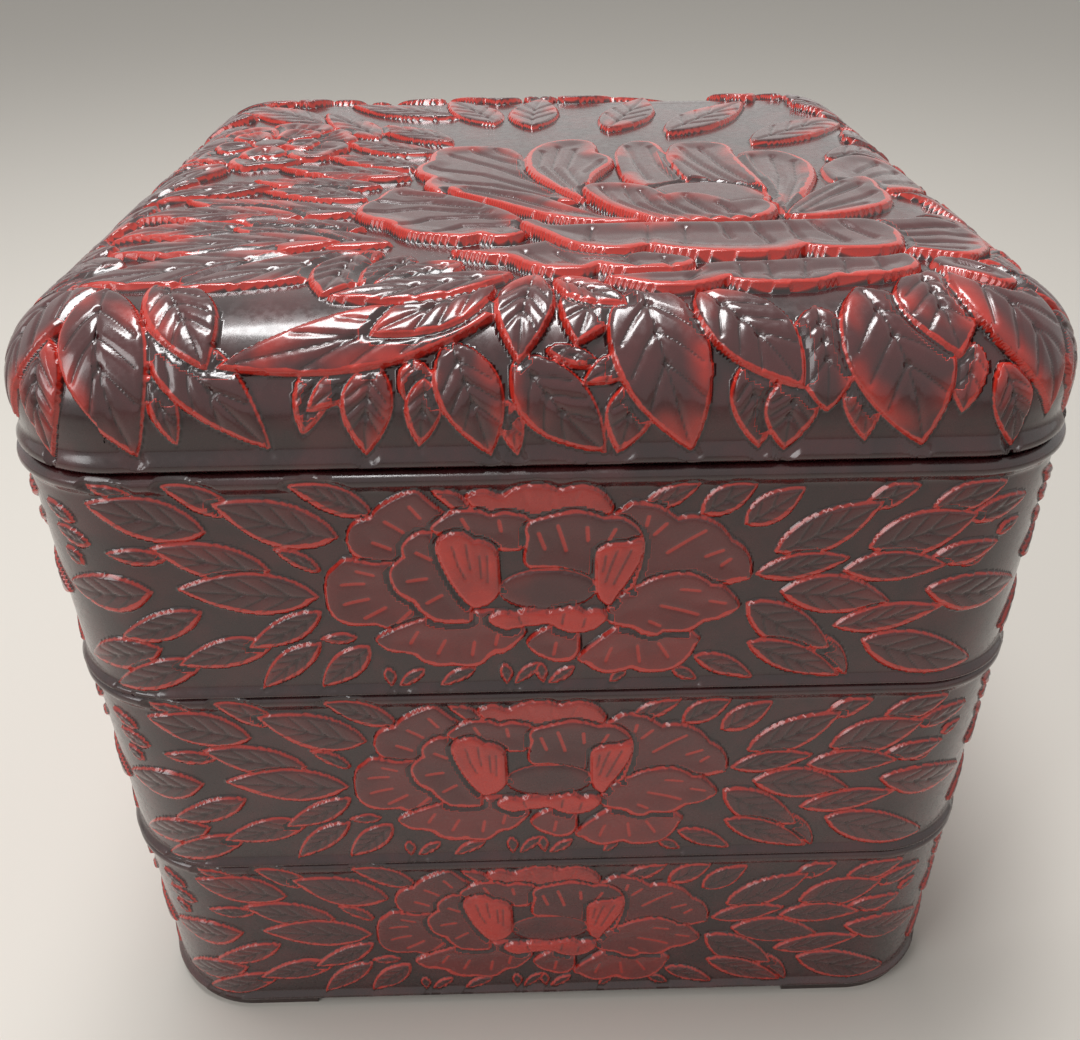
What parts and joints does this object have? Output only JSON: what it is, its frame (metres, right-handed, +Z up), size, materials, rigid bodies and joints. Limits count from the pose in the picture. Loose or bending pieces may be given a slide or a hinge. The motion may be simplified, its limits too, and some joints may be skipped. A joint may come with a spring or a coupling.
{
  "type": "stacking lacquer jubako box",
  "caption": "Square stacking food box in carved red and black lacquer: tiers with round corners and peony bands, low corner feet, and a lift-off lid with a rolled edge.",
  "frame": {"origin": "under the middle of the stack, level with the bottoms of the feet", "axes": "+Z up through the tiers and the lid, -Y out of the front, +X to the right seen from the front"},
  "size_m": [0.195, 0.195, 0.1807],
  "materials": {
    "carved_lacquer": "carved wood under gloss lacquer, dark red-brown with vermilion rubbed through on the edges",
    "inside_lacquer": "smooth near-black gloss lacquer",
    "foot_lacquer": "plain dark lacquer"
  },
  "bodies": {
    "lower_tier": {"lower_front_side": "carved_lacquer", "lower_right_side": "carved_lacquer", "lower_back_side": "carved_lacquer", "lower_left_side": "carved_lacquer", "lower_front_right_cove": "inside_lacquer", "lower_back_right_cove": "inside_lacquer", "lower_back_left_cove": "inside_lacquer", "lower_front_left_cove": "inside_lacquer", "lower_floor": "inside_lacquer", "front_right_foot": "foot_lacquer", "back_right_foot": "foot_lacquer", "back_left_foot": "foot_lacquer", "front_left_foot": "foot_lacquer"},
    "middle_tier": {"middle_front_side": "carved_lacquer", "middle_right_side": "carved_lacquer", "middle_back_side": "carved_lacquer", "middle_left_side": "carved_lacquer", "middle_front_right_cove": "inside_lacquer", "middle_back_right_cove": "inside_lacquer", "middle_back_left_cove": "inside_lacquer", "middle_front_left_cove": "inside_lacquer", "middle_floor": "inside_lacquer"},
    "upper_tier": {"upper_front_side": "carved_lacquer", "upper_right_side": "carved_lacquer", "upper_back_side": "carved_lacquer", "upper_left_side": "carved_lacquer", "upper_front_right_cove": "inside_lacquer", "upper_back_right_cove": "inside_lacquer", "upper_back_left_cove": "inside_lacquer", "upper_front_left_cove": "inside_lacquer", "upper_floor": "inside_lacquer"},
    "lid": {"lid_top_panel": "carved_lacquer", "lid_front_rail": "carved_lacquer", "lid_right_rail": "carved_lacquer", "lid_back_rail": "carved_lacquer", "lid_left_rail": "carved_lacquer", "lid_front_right_cove": "inside_lacquer", "lid_back_right_cove": "inside_lacquer", "lid_back_left_cove": "inside_lacquer", "lid_front_left_cove": "inside_lacquer", "lid_front_strip": "inside_lacquer", "lid_right_strip": "inside_lacquer", "lid_back_strip": "inside_lacquer", "lid_left_strip": "inside_lacquer"}
  },
  "joints": [
    {"name": "middle_tier_lift", "type": "slide", "parent": "lower_tier", "child": "middle_tier", "axis": [0, 0, 1], "range_m": [0, 0.08]},
    {"name": "upper_tier_lift", "type": "slide", "parent": "middle_tier", "child": "upper_tier", "axis": [0, 0, 1], "range_m": [0, 0.08]},
    {"name": "lid_lift", "type": "slide", "parent": "upper_tier", "child": "lid", "axis": [0, 0, 1], "range_m": [0, 0.08]}
  ]
}
